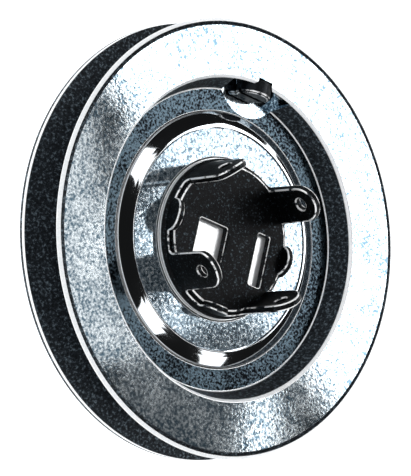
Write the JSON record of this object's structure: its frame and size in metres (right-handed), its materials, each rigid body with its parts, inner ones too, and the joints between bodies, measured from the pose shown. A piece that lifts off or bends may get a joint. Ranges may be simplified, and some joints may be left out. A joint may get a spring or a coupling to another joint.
{
  "type": "pulley",
  "caption": "Single-groove V-belt pulley on a shielded ball bearing, with a black four-eared drive spider standing from the hub and a lock screw in the front recess.",
  "frame": {"origin": "centre of the plane that the rear boss rests on", "axes": "+Z along the axis of rotation, from the rear boss to the front face; +Y from the axis towards the lock screw"},
  "size_m": [0.1372, 0.1372, 0.0436],
  "materials": {
    "turned_steel": "machined bright face, dull groove",
    "bearing_steel": "ground and polished",
    "shield_steel": "pressed, soft sheen",
    "bright_steel": "turned bright",
    "black_iron": "black oxide, oiled",
    "black_steel": "black oxide",
    "nylon": "moulded"
  },
  "bodies": {
    "pulley": {"sheave": "turned_steel", "lock_screw": "black_steel", "bearing_outer_ring": "bearing_steel", "front_shield": "shield_steel", "rear_shield": "shield_steel"},
    "hub": {"bearing_inner_ring": "bearing_steel", "drive_spider": "black_iron", "hub_sleeve": "bright_steel", "snap_ring": "black_steel"},
    "ball_set": {"ball_1": "bearing_steel", "ball_2": "bearing_steel", "ball_3": "bearing_steel", "ball_4": "bearing_steel", "ball_5": "bearing_steel", "ball_6": "bearing_steel", "ball_7": "bearing_steel", "ball_8": "bearing_steel", "ball_9": "bearing_steel", "ball_cage": "nylon"}
  },
  "joints": [
    {"name": "hub_spin", "type": "hinge", "parent": "pulley", "child": "hub", "pos_m": [0, 0, 0.0123], "axis": [0, 0, 1], "continuous": true},
    {"name": "ball_set_spin", "type": "hinge", "parent": "pulley", "child": "ball_set", "pos_m": [0, 0, 0.0123], "axis": [0, 0, 1], "continuous": true}
  ],
  "couplings": [
    {"joint": "ball_set_spin", "follows": "hub_spin", "ratio": 0.405}
  ]
}
